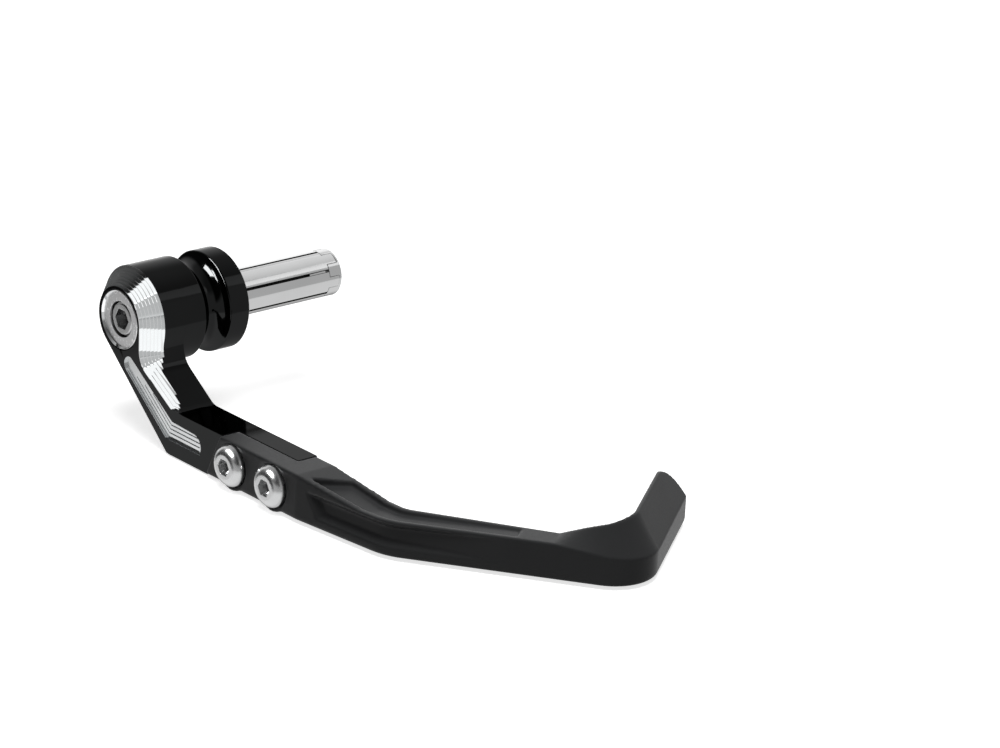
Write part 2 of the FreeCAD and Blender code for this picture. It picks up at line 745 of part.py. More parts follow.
# Centre-line of the blade in plan, by distance from the bar axis
def legs():
    elbow_turn = math.radians(size("bend_turn"))
    corner_turn = math.radians(size("corner_turn"))
    elbow_trim = size("bend_radius") * math.tan(elbow_turn / 2)
    corner_trim = size("corner_radius") * math.tan(corner_turn / 2)
    return [
        (size("bend_start"), 0, 0),
        (0, 0, size("run_turn")),
        (size("run_length") - elbow_trim, 0, 0),
        (size("bend_radius") * elbow_turn, size("bend_radius"), size("bend_turn")),
        (size("reach_length") - elbow_trim - corner_trim, 0, 0),
        (size("corner_radius") * corner_turn, size("corner_radius"), size("corner_turn")),
        (size("paddle_length") - corner_trim, 0, 0),
    ]


# Distance at which a leg of the centre-line ends
def leg_end(count):
    return sum(length for length, radius, turn in legs()[:count])


def leftward(heading):
    return Vector(-math.cos(heading), -math.sin(heading), 0)


def along(distance):
    middle = size("spool_length") + (size("blade_inset") + size("arm_thickness") + size("blade_proud")) / 2
    point = Vector(middle, 0, 0)
    heading = 0.0
    left_over = distance
    for index, (length, radius, turn) in enumerate(legs()):
        last = index == len(legs()) - 1
        step = left_over if last else min(left_over, length)
        if radius:
            turned = heading + step / radius
            point = point + (leftward(heading) - leftward(turned)) * radius
            heading = turned
        else:
            point = point + Vector(-math.sin(heading), math.cos(heading), 0) * step
            heading = heading + math.radians(turn)
        left_over -= step
        if left_over <= 0:
            break
    return point, heading


elbow_middle = leg_end(3) + (leg_end(4) - leg_end(3)) / 2
ridge_distance = leg_end(4) + size("ridge_place") - (size("run_length") - legs()[2][0])
corner_end = leg_end(6)
tip_end = leg_end(7)


def between(value, low, high, at_low, at_high):
    share = min(max((value - low) / (high - low), 0), 1)
    return at_low + (at_high - at_low) * share


def half_width(distance):
    lap = size("arm_thickness") + size("blade_proud") - size("blade_inset")
    if distance < elbow_middle:
        return between(distance, leg_end(1), elbow_middle, lap, size("run_width")) / 2
    if distance < ridge_distance:
        return between(distance, elbow_middle, ridge_distance, size("run_width"), size("ridge_width")) / 2
    return between(distance, ridge_distance, leg_end(5), size("ridge_width"), size("paddle_width")) / 2


# Wire across the blade from corners of (outward offset, height, shift along)
def cross_wire(distance, corners):
    points = []
    for offset, height, shift in corners:
        point, heading = along(distance + shift)
        spot = point - leftward(heading) * offset
        points.append(Vector(spot.x, spot.y, height))
    return Part.makePolygon(points + points[:1])


along_z = Vector(0, 0, 1)


def near_vertex(shape, expected):
    spots = [vertex.Point for vertex in shape.Vertexes]
    return min(spots, key=lambda spot: math.hypot(spot.x - expected.x, spot.y - expected.y))


# Rounds the upright edges where the band turns
def round_bend(base, distance, across, turn, radius):
    point, heading = along(distance)
    expected = point - leftward(heading) * (across / math.cos(math.radians(turn) / 2))
    return fillet(blade, base, edges_along(along_z, near_vertex(base.Shape, expected)), radius)


corner_middle = leg_end(5) + (leg_end(6) - leg_end(5)) / 2
elbow_half = size("run_width") / 2
corner_half = size("paddle_width") / 2
rounded = round_bend(plan_pad, elbow_middle, elbow_half, size("bend_turn"),
                     "Size.bend_radius + Size.run_width / 2")
rounded = round_bend(rounded, elbow_middle, -elbow_half, size("bend_turn"),
                     "Size.bend_radius - Size.run_width / 2")
rounded = round_bend(rounded, corner_middle, corner_half, size("corner_turn"),
                     "Size.corner_radius + Size.paddle_width / 2")
rounded = round_bend(rounded, corner_middle, -corner_half, size("corner_turn"),
                     "Size.corner_radius - Size.paddle_width / 2")


def at_bottom(edge):
    level = -size("blade_bottom")
    return all(abs(vertex.Point.z - level) < 1e-4 for vertex in edge.Vertexes)


fillet(blade, rounded, at_bottom, "Size.bottom_round")

# Screw bosses, the sloping top of the lap and the room for the tongue
boss_sketch = new_sketch(blade, "Bosses", "YZ_Plane", tongue_face)
for place in screw_places:
    draw_circle(boss_sketch, place, "-Size.screw_drop", "Size.boss_radius")
pad(blade, boss_sketch, "%s - %s" % (blade_face, tongue_face))
top_sketch = new_sketch(blade, "LapTop", "YZ_Plane", blade_face)
slope_end = "(Size.bend_start + Size.slope_length)"
draw_outline(top_sketch, [
    ("0", "-Size.arm_top"),
    ("Size.bend_start", "-Size.arm_top"),
    (slope_end, "-Size.run_top"),
    (slope_end, "0"),
    ("0", "0"),
])
pocket(blade, top_sketch)
level_sketch = new_sketch(blade, "ReachTop", "XY_Plane", "-Size.run_top")
broad = "(2 * Size.run_width)"
draw_outline(level_sketch, [
    ("%s + Size.run_width" % blade_face, slope_end),
    aside(elbow, broad, elbow_heading, "+"),
    aside(ridge, broad, heading_reach, "+"),
    aside(ridge, broad, heading_reach, "-"),
    aside(elbow, broad, elbow_heading, "-"),
    ("%s - Size.run_width" % blade_back, slope_end),
])
pocket(blade, level_sketch, "Size.run_top", upward=True)
start_sketch = new_sketch(blade, "LapStart", "YZ_Plane", blade_face)
lap_rise = "(Size.arm_bottom - Size.arm_top)"
lap_lean = "(Size.lap_top_start - Size.lap_bottom_start)"
draw_outline(start_sketch, [
    ("0", "-Size.arm_bottom - %s" % lap_rise),
    ("Size.lap_bottom_start - %s + Size.lap_gap" % lap_lean, "-Size.arm_bottom - %s" % lap_rise),
    ("Size.lap_top_start + %s + Size.lap_gap" % lap_lean, "-Size.arm_top + %s" % lap_rise),
    ("0", "-Size.arm_top + %s" % lap_rise),
])
pocket(blade, start_sketch)
room_sketch = new_sketch(blade, "TongueRoom", "YZ_Plane", tongue_face)
tongue_lean = "(Size.tongue_top_end - Size.tongue_bottom_end)"
draw_outline(room_sketch, [
    ("0", "-Size.arm_bottom - %s" % lap_rise),
    ("Size.tongue_bottom_end - %s + Size.lap_gap" % tongue_lean, "-Size.arm_bottom - %s" % lap_rise),
    ("Size.tongue_top_end + %s + Size.lap_gap" % tongue_lean, "-Size.arm_top + %s" % lap_rise),
    ("0", "-Size.arm_top + %s" % lap_rise),
])
pocket(blade, room_sketch)
seat_sketch = new_sketch(blade, "ScrewSeats", "YZ_Plane", blade_face)
for place in screw_places:
    draw_circle(seat_sketch, place, "-Size.screw_drop", "Size.screw_head_radius + Size.seat_gap")
pocket(blade, seat_sketch, "Size.seat_depth")
hole_sketch = new_sketch(blade, "ScrewHoles", "YZ_Plane", blade_face)
for place in screw_places:
    draw_circle(hole_sketch, place, "-Size.screw_drop", screw_bore)
pocket(blade, hole_sketch)


# Section of the space above the paddle: a crest at the back, a slope to the front
def above_wire(distance, crest, front):
    half = half_width(distance)
    slope = (front - crest) / (2 * half - size("crest_flat"))
    ceiling = -size("crest_top") + cutting_margin
    return cross_wire(distance, [
        (-half - cutting_margin, crest, 0),
        (size("crest_flat") - half, crest, 0),
        (half + cutting_margin, front + slope * cutting_margin, 0),
        (half + cutting_margin, ceiling, 0),
        (-half - cutting_margin, ceiling, 0),
    ])


# The level top turns into the paddle's slope between the ridge and the corner
def twist_tool():
    level = -size("run_top")
    wires = []
    count = 8
    for k in range(count + 1):
        share = k / count
        distance = ridge_distance + (corner_end - ridge_distance) * share
        crest = level + (size("run_top") - size("crest_top")) * math.sin(math.pi / 2 * share)
        front = level + (size("run_top") - size("paddle_front")) * share
        wires.append(above_wire(distance, crest, front))
    twist_part = Part.makeLoft(wires, True, False)
    past_tip = tip_end + cutting_margin
    paddle_part = Part.makeLoft([above_wire(corner_end, -size("crest_top"), -size("paddle_front")),
                                 above_wire(past_tip, -size("crest_top"), -size("tip_front"))], True, True)
    return twist_part.fuse(paddle_part)


# Space outside the paddle's rounded end, which is slanted to be shorter at the back
def tip_tool():
    width = size("paddle_width")
    set_back = size("tip_slant") / width
    top = -size("crest_top")
    bottom = -size("blade_bottom")
    heading = along(tip_end)[1]
    onward = Vector(-math.sin(heading), math.cos(heading), 0)

    def spot(distance, height):
        point = along(distance)[0]
        behind = leftward(heading) * width - onward * set_back * (width + width / 2)
        return Vector(point.x, point.y, height) + behind

    through = (onward * set_back - leftward(heading)) * (2 * width)
    pieces = []
    for height, radius, outward in ((top, size("tip_round"), 1), (bottom, size("tip_foot"), -1)):
        back = spot(tip_end - 2 * radius, height)
        peak = spot(tip_end, height)
        lower = spot(tip_end, height - 2 * radius * outward)
        start, arc, end = corner_arc(back, peak, lower, radius)
        beyond = spot(tip_end + cutting_margin, height + cutting_margin * outward)
        above = Vector(start.x, start.y, beyond.z)
        outside = Vector(beyond.x, beyond.y, end.z)
        outline = [arc, Part.makeLine(end, outside), Part.makeLine(outside, beyond),
                   Part.makeLine(beyond, above), Part.makeLine(above, start)]
        pieces.append(Part.Face(Part.Wire(outline)).extrude(through))
    return pieces[0].fuse(pieces[1])


# Channel in the outer face that runs out along the reach
def side_channel_tool():
    top = -size("side_channel_top")
    bottom = -size("side_channel_bottom")
    draft = size("side_channel_draft") / size("side_channel_depth")
    slant = size("side_channel_slant")
    out = size("side_channel_depth") / 2

    def wire(distance, depth, lean):
        edge = half_width(distance)
        spread = out * draft
        sunk = depth * draft
        corners = [
            (edge + out, top + spread),
            (edge + out, bottom - spread),
            (edge - depth, bottom + sunk),
            (edge - depth, top - sunk),
        ]
        tilt = lean / (top - bottom)
        middle = (top + bottom) / 2
        leaned = [(offset, height, (middle - height) * tilt) for offset, height in corners]
        return cross_wire(distance, leaned)

    start = size("side_channel_start")
    deep = start + size("side_channel_wall")
    finish = leg_end(4) + size("side_channel_end") - (size("run_length") - legs()[2][0])
    full = size("side_channel_depth")
    parts = [Part.makeLoft([wire(start, -out / 2, slant), wire(deep, full, slant)], True, True)]
    turn_wires = []
    count = 4
    for k in range(count + 1):
        turn_wires.append(wire(between(k, 0, count, leg_end(3), leg_end(4)), full, 0))
    parts.append(Part.makeLoft([wire(deep, full, slant), turn_wires[0]], True, True))
    parts.append(Part.makeLoft(turn_wires, True, False))
    parts.append(Part.makeLoft([turn_wires[-1], wire(finish, -out / 2, 0)], True, True))
    return parts[0].multiFuse(parts[1:])


# Channel along the top between two rims, with a slanted start
def top_channel_tool():
    rim = size("top_channel_rim")

    def top_at(distance):
        low = size("bend_start")
        return -between(distance, low, low + size("slope_length"), size("arm_top"), size("run_top"))

    def wire(distance, depth, slant):
        half = half_width(distance) - rim
        lean = slant * half
        top = top_at(distance)
        return cross_wire(distance, [
            (half, top + cutting_margin, -lean),
            (-half, top + cutting_margin, lean),
            (-half, top - depth, lean),
            (half, top - depth, -lean),
        ])

    start = size("top_channel_start")
    slope_finish = size("bend_start") + size("slope_length")
    finish = leg_end(4) + size("top_channel_end") - (size("run_length") - legs()[2][0])

    def depth_at(distance):
        return between(distance, start, finish, size("top_channel_depth"), size("top_channel_end_depth"))

    turn_wires = []
    count = 4
    for k in range(count + 1):
        distance = between(k, 0, count, leg_end(3), leg_end(4))
        turn_wires.append(wire(distance, depth_at(distance), 0))
    first = wire(start, depth_at(start), size("top_channel_slant"))
    second = wire(slope_finish, depth_at(slope_finish), 0)
    parts = [
        Part.makeLoft([first, second], True, True),
        Part.makeLoft([second, turn_wires[0]], True, True),
        Part.makeLoft(turn_wires, True, False),
        Part.makeLoft([turn_wires[-1], wire(finish, depth_at(finish), 0)], True, True),
    ]
    return parts[0].multiFuse(parts[1:])


blade_twist = cut("BladeTwist", blade, shaped("TwistTool", twist_tool()))
blade_tip = cut("BladeTip", blade_twist, shaped("TipTool", tip_tool()))
blade_side = cut("BladeSide", blade_tip, shaped("SideChannel", side_channel_tool()))
guard_blade = cut("GuardBlade", blade_side, shaped("TopChannel", top_channel_tool()))
guard_blade.Label = "guard_blade"


# Button-head screws from the blade's outer face into the tongue
def screw(name, place):
    body = new_body(name)
    body.setExpression("Placement.Base.y", place)
    body.setExpression("Placement.Base.z", "-Size.screw_drop")
    head_top = "(%s + Size.screw_head_height)" % screw_seat
    turned = turn_profile(body, name + "Profile", [
        ("Size.spool_length", "0"),
        ("Size.spool_length", "Size.screw_radius"),
        (screw_seat, "Size.screw_radius"),
        (screw_seat, "Size.screw_head_radius"),
        (head_top, "Size.screw_head_radius"),
        (head_top, "0"),
    ])
    crown = size("spool_length") + size("arm_thickness") + size("blade_proud")
    crown += size("screw_head_height") - size("seat_depth")
    fillet(body, turned, circles_at(crown, size("screw_head_radius")), "Size.screw_head_round")
    hexagon = new_sketch(body, name + "Hex", "YZ_Plane", head_top)
    draw_hexagon(hexagon, "Size.screw_hex")
    pocket(body, hexagon, "Size.screw_hex_depth")
    return body


blade_screws = doc.addObject("Part::Compound", "BladeScrews")
blade_screws.Links = [screw("ScrewNear", screw_places[0]), screw("ScrewFar", screw_places[1])]
blade_screws.Label = "blade_screws"
doc.recompute()

pieces = [clamp_arm, spool, cap, bolt, sleeve, nut, guard_blade, blade_screws]
for item in doc.Objects:
    if "Invalid" in item.State or "Error" in item.State:
        raise RuntimeError("%s did not build" % item.Name)
os.makedirs("parts", exist_ok=True)
for piece in pieces:
    if piece.Shape.isNull() or not piece.Shape.isValid():
        raise RuntimeError("%s has no valid shape" % piece.Label)
    piece.Shape.exportStep("parts/%s.step" % piece.Label)
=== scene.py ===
import bpy
import math
from mathutils import Matrix, Vector


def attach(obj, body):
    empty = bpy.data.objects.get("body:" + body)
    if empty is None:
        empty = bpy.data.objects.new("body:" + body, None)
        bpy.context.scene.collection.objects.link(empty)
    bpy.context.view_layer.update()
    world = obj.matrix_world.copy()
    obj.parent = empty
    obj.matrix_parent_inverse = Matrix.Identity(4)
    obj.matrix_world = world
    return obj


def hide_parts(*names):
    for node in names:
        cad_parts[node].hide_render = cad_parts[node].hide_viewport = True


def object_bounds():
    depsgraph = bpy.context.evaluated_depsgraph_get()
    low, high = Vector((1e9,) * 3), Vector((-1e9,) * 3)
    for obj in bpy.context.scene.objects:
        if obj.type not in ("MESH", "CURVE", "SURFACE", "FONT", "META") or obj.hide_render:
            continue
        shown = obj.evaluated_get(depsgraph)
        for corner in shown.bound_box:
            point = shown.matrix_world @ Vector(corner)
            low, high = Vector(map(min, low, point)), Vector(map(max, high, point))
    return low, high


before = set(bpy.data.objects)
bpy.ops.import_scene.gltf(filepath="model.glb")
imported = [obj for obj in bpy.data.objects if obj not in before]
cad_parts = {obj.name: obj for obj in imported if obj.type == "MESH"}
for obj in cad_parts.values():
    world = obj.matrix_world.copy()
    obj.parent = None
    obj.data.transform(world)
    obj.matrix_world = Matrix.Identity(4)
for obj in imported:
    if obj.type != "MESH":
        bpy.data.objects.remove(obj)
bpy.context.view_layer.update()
mm = 0.001
print("frame loaded, nodes:", sorted(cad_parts))


# small helpers

# seat is the plane where the arm's hub and the spool meet
meshing = {"merge": 0.002 * mm, "flatDegrees": 0.3, "seat": 21.0 * mm, "touching": 0.02 * mm,
           "bevelSegments": 2, "smoothDegrees": 35, "faceWeight": 80}


def onlyThis(piece):
    bpy.ops.object.select_all(action="DESELECT")
    piece.select_set(True)
    bpy.context.view_layer.objects.active = piece


def applyModifier(piece, kind, **settings):
    onlyThis(piece)
    modifier = piece.modifiers.new(kind.title(), kind)
    for name, value in settings.items():
        setattr(modifier, name, value)
    bpy.ops.object.modifier_apply(modifier=modifier.name)


# own copy of a node's mesh, merged, with flat areas joined up again
def copyOfNode(node, name):
    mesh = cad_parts[node].data.copy()
    mesh.materials.clear()
    piece = bpy.data.objects.new(name, mesh)
    bpy.context.scene.collection.objects.link(piece)
    onlyThis(piece)
    bpy.ops.object.mode_set(mode="EDIT")
    bpy.ops.mesh.select_all(action="SELECT")
    bpy.ops.mesh.customdata_custom_splitnormals_clear()
    bpy.ops.mesh.remove_doubles(threshold=meshing["merge"])
    bpy.ops.mesh.dissolve_limited(angle_limit=math.radians(meshing["flatDegrees"]))
    bpy.ops.object.mode_set(mode="OBJECT")
    return piece


# edit mode with just the vertices that pass the test
def pickVertices(piece, test):
    onlyThis(piece)
    for part in list(piece.data.edges) + list(piece.data.polygons):
        part.select = False
    for vertex in piece.data.vertices:
        vertex.select = test(vertex.co)
    bpy.ops.object.mode_set(mode="EDIT")
    bpy.ops.mesh.select_mode(type="VERT")


# smooth shading in which the large faces keep their own direction
def smoothShade(piece):
    onlyThis(piece)
    bpy.ops.object.shade_smooth_by_angle(angle=math.radians(meshing["smoothDegrees"]))
    applyModifier(piece, "WEIGHTED_NORMAL", mode="FACE_AREA", weight=meshing["faceWeight"],
                  keep_sharp=True)


def atSeat(place):
    return abs(place.x - meshing["seat"]) < meshing["touching"]


# small bevel on sharp edges of the first finish, but not where arm and spool meet
def softenEdges(piece, width, degrees):
    mesh = piece.data
    sides = {}
    for face in mesh.polygons:
        for key in face.edge_keys:
            sides.setdefault(key, []).append(face)
    weights = mesh.attributes.new("bevel_weight_edge", "FLOAT", "EDGE")
    for edge in mesh.edges:
        beside = sides.get(edge.key, [])
        if len(beside) != 2 or any(face.material_index for face in beside):
            continue
        seated = all(atSeat(mesh.vertices[index].co) for index in edge.vertices)
        if not seated and beside[0].normal.angle(beside[1].normal, 0.0) > math.radians(degrees):
            weights.data[edge.index].value = 1.0
    applyModifier(piece, "BEVEL", width=width, segments=meshing["bevelSegments"],
                  limit_method="WEIGHT", use_clamp_overlap=False)


def settle(piece, node):
    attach(piece, "root")
    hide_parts(node)
    print("piece", piece.name, "faces", len(piece.data.polygons))


# shared shader groups

grainValues = {"pitDetail": 3.0, "cloudDetail": 4.0, "fleckRange": (0.58, 0.64)}
latheValues = {"detail": 2.0, "scale": 1.0}
maskRange = (0.3, 0.7)


def addNode(tree, kind, **settings):
    node = tree.nodes.new(kind)
    for name, value in settings.items():
        setattr(node, name, value)
    return node


def mathNode(tree, operation, first, second=None):
    node = addNode(tree, "ShaderNodeMath", operation=operation)
    for socket, value in zip(node.inputs, (first, second)):
        if value is None:
            continue
        if isinstance(value, (int, float)):
            socket.default_value = value
        else:
            tree.links.new(value, socket)
    return node.outputs[0]


def newGroup(name, inputs, outputs):
    group = bpy.data.node_groups.new(name, "ShaderNodeTree")
    for direction, labels in (("INPUT", inputs), ("OUTPUT", outputs)):
        for label in labels:
            group.interface.new_socket(label, in_out=direction, socket_type="NodeSocketFloat")
    return group, addNode(group, "NodeGroupInput"), addNode(group, "NodeGroupOutput")


# moulded or blasted grain: fine pits over slow cloudy changes
def makeGrainGroup():
    group, entry, leave = newGroup("surfaceGrain", ["Fine Scale", "Cloud Scale"],
                                   ["Pits", "Clouds", "Flecks"])
    place = addNode(group, "ShaderNodeTexCoord")
    pits = addNode(group, "ShaderNodeTexNoise")
    pits.inputs["Detail"].default_value = grainValues["pitDetail"]
    clouds = addNode(group, "ShaderNodeTexNoise")
    clouds.inputs["Detail"].default_value = grainValues["cloudDetail"]
    for noise, label in ((pits, "Fine Scale"), (clouds, "Cloud Scale")):
        group.links.new(place.outputs["Object"], noise.inputs["Vector"])
        group.links.new(entry.outputs[label], noise.inputs["Scale"])
    group.links.new(pits.outputs["Fac"], leave.inputs["Pits"])
    group.links.new(clouds.outputs["Fac"], leave.inputs["Clouds"])
    flecks = addNode(group, "ShaderNodeMapRange")
    for label, value in zip(("From Min", "From Max"), grainValues["fleckRange"]):
        flecks.inputs[label].default_value = value
    group.links.new(pits.outputs["Fac"], flecks.inputs["Value"])
    group.links.new(flecks.outputs["Result"], leave.inputs["Flecks"])
    return group


# lathe marks: rings about the bar axis, on faces and on barrels alike
def makeLatheGroup():
    group, entry, leave = newGroup("latheMarks", ["Ring Scale"], ["Rings"])
    place = addNode(group, "ShaderNodeTexCoord")
    split = addNode(group, "ShaderNodeSeparateXYZ")
    group.links.new(place.outputs["Object"], split.inputs[0])
    square = mathNode(group, "MULTIPLY", split.outputs["Y"], split.outputs["Y"])
    other = mathNode(group, "MULTIPLY", split.outputs["Z"], split.outputs["Z"])
    radius = mathNode(group, "SQRT", mathNode(group, "ADD", square, other))
    along = mathNode(group, "ADD", radius, split.outputs["X"])
    scaled = mathNode(group, "MULTIPLY", along, entry.outputs["Ring Scale"])
    noise = addNode(group, "ShaderNodeTexNoise", noise_dimensions="1D")
    noise.inputs["Detail"].default_value = latheValues["detail"]
    noise.inputs["Scale"].default_value = latheValues["scale"]
    group.links.new(scaled, noise.inputs["W"])
    group.links.new(noise.outputs["Fac"], leave.inputs["Rings"])
    return group


grainGroup = makeGrainGroup()
latheGroup = makeLatheGroup()


def placeGroup(tree, group, **values):
    node = addNode(tree, "ShaderNodeGroup", node_tree=group)
    for label, value in values.items():
        node.inputs[label.replace("_", " ")].default_value = value
    return node


# colour between two tones by a mask
def toneBetween(tree, mask, dark, light):
    node = addNode(tree, "ShaderNodeMix", data_type="RGBA")
    node.inputs["A"].default_value = (*dark, 1)
    node.inputs["B"].default_value = (*light, 1)
    tree.links.new(mask, node.inputs["Factor"])
    return node.outputs["Result"]


def valueBetween(tree, mask, low, high):
    node = addNode(tree, "ShaderNodeMapRange")
    limits = (*maskRange, low, high)
    for label, value in zip(("From Min", "From Max", "To Min", "To Max"), limits):
        node.inputs[label].default_value = value
    tree.links.new(mask, node.inputs["Value"])
    return node.outputs["Result"]


def bumpFrom(tree, height, strength, distance):
    node = addNode(tree, "ShaderNodeBump")
    node.inputs["Strength"].default_value = strength
    node.inputs["Distance"].default_value = distance
    tree.links.new(height, node.inputs["Height"])
    return node.outputs["Normal"]


def newMaterial(name):
    material = bpy.data.materials.new(name)
    material.use_nodes = True
    return material, material.node_tree, material.node_tree.nodes["Principled BSDF"]


# finishes, and one painted shade for the inside of the bar: masks drive the tone, the roughness
# and the bump, in that order

plainMasks = ("Clouds", "Clouds", "Pits")
finishes = {
    "blackAnodise": {
        "dark": (0.017, 0.0174, 0.0176), "light": (0.022, 0.0226, 0.0228), "rough": (0.06, 0.10),
        "bump": 0.05, "depth": 0.01 * mm, "fine": 5200.0, "cloud": 90.0, "masks": plainMasks,
        "sockets": {"Metallic": 1.0, "Specular Tint": (0.6, 0.6, 0.6, 1)},
    },
    "brightCut": {
        "dark": (0.82, 0.832, 0.836), "light": (0.90, 0.912, 0.916), "rough": (0.05, 0.09),
        "bump": 0.012, "depth": 0.01 * mm, "fine": 3600.0, "cloud": 220.0, "masks": plainMasks,
        "sockets": {"Metallic": 1.0},
    },
    "stripCut": {
        "dark": (0.56, 0.572, 0.576), "light": (0.66, 0.672, 0.676), "rough": (0.16, 0.24),
        "bump": 0.012, "depth": 0.01 * mm, "fine": 3600.0, "cloud": 220.0, "masks": plainMasks,
        "sockets": {"Metallic": 1.0},
    },
    "turnedAlloy": {
        "dark": (0.57, 0.573, 0.575), "light": (0.63, 0.633, 0.635), "rough": (0.08, 0.14),
        "bump": 0.03, "depth": 0.02 * mm, "fine": 3000.0, "cloud": 120.0, "ring": 5200.0,
        "masks": ("Clouds", "Rings", "Rings"), "sockets": {"Metallic": 1.0},
    },
    "speckledAlloy": {
        "dark": (0.58, 0.582, 0.584), "light": (0.85, 0.85, 0.85), "rough": (0.26, 0.40),
        "bump": 0.16, "depth": 0.03 * mm, "fine": 1300.0, "cloud": 160.0,
        "masks": ("Flecks", "Clouds", "Pits"), "sockets": {"Metallic": 1.0},
    },
    # painted shade: near-black dull tone for the sleeve's inside and the bolt's shank, standing
    # in for the shade inside the bar and its slits
    "paintedBoreShade": {
        "dark": (0.03, 0.0302, 0.0304), "light": (0.05, 0.0503, 0.0506), "rough": (0.45, 0.60),
        "bump": 0.05, "depth": 0.01 * mm, "fine": 2400.0, "cloud": 150.0, "masks": plainMasks,
        "sockets": {"Metallic": 1.0},
    },
    "platedSteel": {
        "dark": (0.44, 0.443, 0.445), "light": (0.52, 0.523, 0.525), "rough": (0.20, 0.28),
        "bump": 0.02, "depth": 0.01 * mm, "fine": 2800.0, "cloud": 260.0, "masks": plainMasks,
        "sockets": {"Metallic": 1.0},
    },
    "dullSteel": {
        "dark": (0.36, 0.362, 0.363), "light": (0.44, 0.442, 0.443), "rough": (0.22, 0.30),
        "bump": 0.02, "depth": 0.01 * mm, "fine": 2800.0, "cloud": 260.0, "masks": plainMasks,
        "sockets": {"Metallic": 1.0},
    },
    "mouldedPlastic": {
        "dark": (0.040, 0.0408, 0.042), "light": (0.054, 0.055, 0.0565), "rough": (0.30, 0.40),
        "bump": 0.22, "depth": 0.03 * mm, "fine": 2600.0, "cloud": 70.0,
        "masks": ("Clouds", "Pits", "Pits"), "sockets": {"Specular IOR Level": 0.10},
    },
}


def makeTonedMaterial(name, values):
    material, tree, shader = newMaterial(name)
    grain = placeGroup(tree, grainGroup, Fine_Scale=values["fine"], Cloud_Scale=values["cloud"])
    outputs = {label: grain.outputs[label] for label in ("Pits", "Clouds", "Flecks")}
    if "ring" in values:
        rings = placeGroup(tree, latheGroup, Ring_Scale=values["ring"])
        outputs["Rings"] = rings.outputs["Rings"]
    toneMask, roughMask, bumpMask = (outputs[label] for label in values["masks"])
    sources = {
        "Base Color": toneBetween(tree, toneMask, values["dark"], values["light"]),
        "Roughness": valueBetween(tree, roughMask, *values["rough"]),
        "Normal": bumpFrom(tree, bumpMask, values["bump"], values["depth"]),
    }
    for label, source in sources.items():
        tree.links.new(source, shader.inputs[label])
    for label, value in values["sockets"].items():
        shader.inputs[label].default_value = value
    return material


materialOf = {name: makeTonedMaterial(name, values) for name, values in finishes.items()}
print("finishes made")


# arm: black, with the steps and the strip cut bright

arm = {
    "outerFace": 32.2 * mm, "stepFloor": 27.3 * mm, "lapStart": 38.0 * mm, "near": 0.004 * mm,
    "steps": [level * mm for level in (31.73, 31.26, 30.79, 30.32, 29.85, 29.38)],
    "lowestStep": 27.38 * mm, "strip": [level * mm for level in (31.25, 31.5, 32.2)],
    "edge": 0.12 * mm, "sharpDegrees": 35,
    "finishes": ("blackAnodise", "brightCut", "stripCut"),
}


def inStrip(corner):
    return min(abs(corner.x - level) for level in arm["strip"]) < arm["near"]


# finish of a face of the arm: steps and strip lie below the outer face and short of the lap
def armFinish(corners):
    lowest = min(corner.x for corner in corners)
    furthest = max(corner.y for corner in corners)
    onOuterFace = lowest > arm["outerFace"] - meshing["touching"]
    if lowest <= arm["stepFloor"] or furthest >= arm["lapStart"] or onOuterFace:
        return "blackAnodise"
    return "stripCut" if all(inStrip(corner) for corner in corners) else "brightCut"


# the steps come out evenly spaced between the outer face and the lowest of them
def evenSteps(piece):
    spacing = (arm["outerFace"] - arm["lowestStep"]) / (len(arm["steps"]) + 1)
    for number, level in enumerate(arm["steps"], start=1):
        pickVertices(piece, lambda place: abs(place.x - level) < arm["near"])
        bpy.ops.transform.translate(value=(arm["outerFace"] - number * spacing - level, 0, 0))
        bpy.ops.object.mode_set(mode="OBJECT")


armPiece = copyOfNode("clamp_arm", "armPiece")
for name in arm["finishes"]:
    armPiece.data.materials.append(materialOf[name])
for face in armPiece.data.polygons:
    corners = [armPiece.data.vertices[index].co for index in face.vertices]
    face.material_index = arm["finishes"].index(armFinish(corners))
evenSteps(armPiece)
softenEdges(armPiece, arm["edge"], arm["sharpDegrees"])
smoothShade(armPiece)
settle(armPiece, "clamp_arm")

# blade: moulded, so every edge is soft

blade = {"voxel": 0.3 * mm, "rounds": 6, "factor": 0.5}
bladePiece = copyOfNode("guard_blade", "bladePiece")
bladePiece.data.materials.append(materialOf["mouldedPlastic"])
applyModifier(bladePiece, "REMESH", mode="VOXEL", voxel_size=blade["voxel"],
              use_smooth_shade=True)
applyModifier(bladePiece, "SMOOTH", factor=blade["factor"], iterations=blade["rounds"])
settle(bladePiece, "guard_blade")

# turned pieces and screws: name, finish, slot, width of the broken edge

turned = {
    "bar_end_spool": ("spoolPiece", "blackAnodise", "black_anodised", 0.05 * mm),
    "end_cap": ("capPiece", "speckledAlloy", "bright_aluminium", 0.06 * mm),
    "expansion_sleeve": ("sleevePiece", "turnedAlloy", "bright_aluminium", 0.08 * mm),
    "cone_nut": ("nutPiece", "turnedAlloy", "bright_aluminium", 0.08 * mm),
    "through_bolt": ("boltPiece", "dullSteel", "steel", 0.12 * mm),
    "blade_screws": ("screwPieces", "platedSteel", "steel", 0.12 * mm),
}
turnedSharpDegrees = 40
spoolJoint = {"rimFrom": 12.7 * mm, "rimTo": 13.2 * mm, "radius": 13.5 * mm,
              "chamferFoot": 13.1 * mm}
lean = {"dishLeast": 0.2, "dishMost": 0.6, "wall": 0.5}


def atSpoolRim(place):
    reach = math.hypot(place.y, place.z)
    return spoolJoint["rimFrom"] < reach < spoolJoint["rimTo"] and atSeat(place)


# the spool's outer rim comes out flush with the arm's hub
def closeJoint(piece):
    pickVertices(piece, atSpoolRim)
    wider = spoolJoint["radius"] / spoolJoint["chamferFoot"]
    bpy.ops.transform.resize(value=(1, wider, wider), center_override=(meshing["seat"], 0, 0))
    bpy.ops.object.mode_set(mode="OBJECT")
